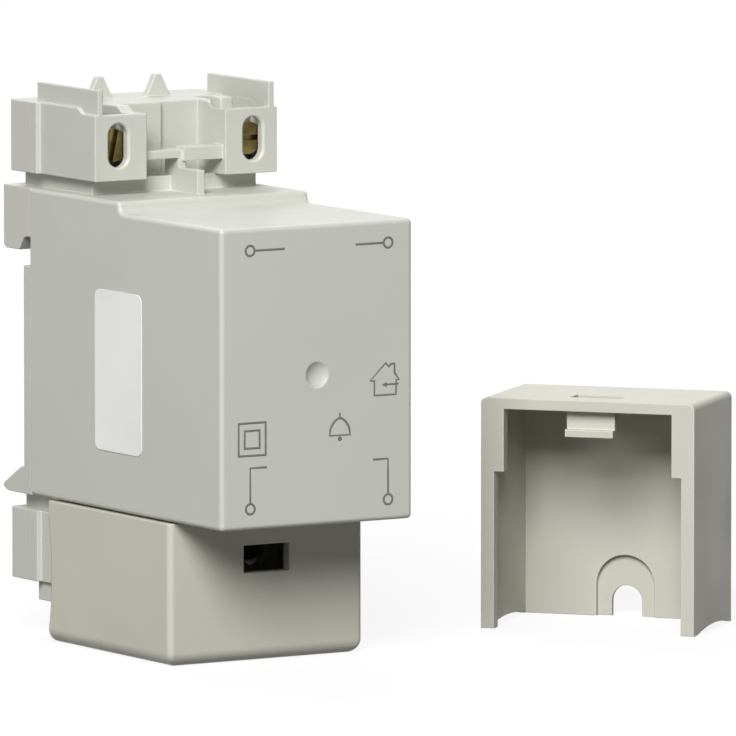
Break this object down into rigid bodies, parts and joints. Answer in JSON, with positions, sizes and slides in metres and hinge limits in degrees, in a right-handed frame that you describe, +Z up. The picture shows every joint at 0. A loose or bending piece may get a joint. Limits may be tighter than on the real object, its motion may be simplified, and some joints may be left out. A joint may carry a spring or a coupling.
{
  "type": "doorbell transformer",
  "caption": "Two-module bell transformer for a 35 mm rail, with clamp terminals at both ends, one terminal cover fitted and one standing beside it.",
  "frame": {"origin": "on the rail seat, at the rail's centre line and mid width", "axes": "+X to the right seen from the front, +Y from the front to the rail, +Z up"},
  "size_m": [0.1069, 0.0671, 0.0891],
  "materials": {
    "housing": "satin moulded plastic",
    "base": "satin moulded plastic",
    "cover": "satin moulded plastic",
    "latch": "satin moulded plastic",
    "label": "smooth paper sticker",
    "spring": "bright wire",
    "laminations": "stacked sheet steel",
    "bobbin": "moulded",
    "primary_copper": "enamelled wire",
    "secondary_copper": "enamelled wire",
    "cutout": "cased",
    "tag": "stamped strip",
    "lead": "sleeved wire",
    "screw_brass": "turned brass, dulled",
    "cage_steel": "plated steel"
  },
  "bodies": {
    "root": {"housing": "housing", "rear_base": "base", "upper_cover": "cover", "side_label": "label", "latch_spring": "spring", "core_e": "laminations", "core_i": "laminations", "bobbin": "bobbin", "primary_winding": "primary_copper", "secondary_winding": "secondary_copper", "thermal_cutout": "cutout", "tag_upper_left": "tag", "tag_upper_right": "tag", "tag_lower_left": "tag", "tag_lower_right": "tag", "lead_upper_left": "lead", "lead_upper_right": "lead", "lead_lower_left": "lead", "lead_lower_right": "lead"},
    "lower_cover": {"lower_cover": "cover"},
    "rail_latch": {"rail_latch": "latch"},
    "screw_upper_left": {"screw_upper_left": "screw_brass"},
    "cage_upper_left": {"cage_upper_left": "cage_steel"},
    "screw_upper_right": {"screw_upper_right": "screw_brass"},
    "cage_upper_right": {"cage_upper_right": "cage_steel"},
    "screw_lower_left": {"screw_lower_left": "screw_brass"},
    "cage_lower_left": {"cage_lower_left": "cage_steel"},
    "screw_lower_right": {"screw_lower_right": "screw_brass"},
    "cage_lower_right": {"cage_lower_right": "cage_steel"}
  },
  "joints": [
    {"name": "cover_pull", "type": "slide", "parent": "root", "child": "lower_cover", "axis": [0, -1, 0], "range_m": [0, 0.04]},
    {"name": "latch_release", "type": "slide", "parent": "root", "child": "rail_latch", "axis": [0, 0, -1], "range_m": [0, 0.004], "stiffness_N_per_m": 500, "springref_m": -0.004, "deforming": ["latch_spring"]},
    {"name": "turn_upper_left", "type": "hinge", "parent": "root", "child": "screw_upper_left", "pos_m": [-0.0124, -0.019, 0.0351], "axis": [0, 1, 0], "range_deg": [0, 1080]},
    {"name": "grip_upper_left", "type": "slide", "parent": "root", "child": "cage_upper_left", "axis": [0, -1, 0], "range_m": [0, 0.0018]},
    {"name": "turn_upper_right", "type": "hinge", "parent": "root", "child": "screw_upper_right", "pos_m": [0.0124, -0.019, 0.0351], "axis": [0, 1, 0], "range_deg": [0, 1080]},
    {"name": "grip_upper_right", "type": "slide", "parent": "root", "child": "cage_upper_right", "axis": [0, -1, 0], "range_m": [0, 0.0018]},
    {"name": "turn_lower_left", "type": "hinge", "parent": "root", "child": "screw_lower_left", "pos_m": [-0.0124, -0.019, -0.0297], "axis": [0, 1, 0], "range_deg": [0, 1080]},
    {"name": "grip_lower_left", "type": "slide", "parent": "root", "child": "cage_lower_left", "axis": [0, -1, 0], "range_m": [0, 0.0018]},
    {"name": "turn_lower_right", "type": "hinge", "parent": "root", "child": "screw_lower_right", "pos_m": [0.0124, -0.019, -0.0297], "axis": [0, 1, 0], "range_deg": [0, 1080]},
    {"name": "grip_lower_right", "type": "slide", "parent": "root", "child": "cage_lower_right", "axis": [0, -1, 0], "range_m": [0, 0.0018]}
  ],
  "couplings": [
    {"joint": "turn_upper_left", "follows": "grip_upper_left", "rad_per_m": 10472},
    {"joint": "turn_upper_right", "follows": "grip_upper_right", "rad_per_m": 10472},
    {"joint": "turn_lower_left", "follows": "grip_lower_left", "rad_per_m": 10472},
    {"joint": "turn_lower_right", "follows": "grip_lower_right", "rad_per_m": 10472}
  ]
}
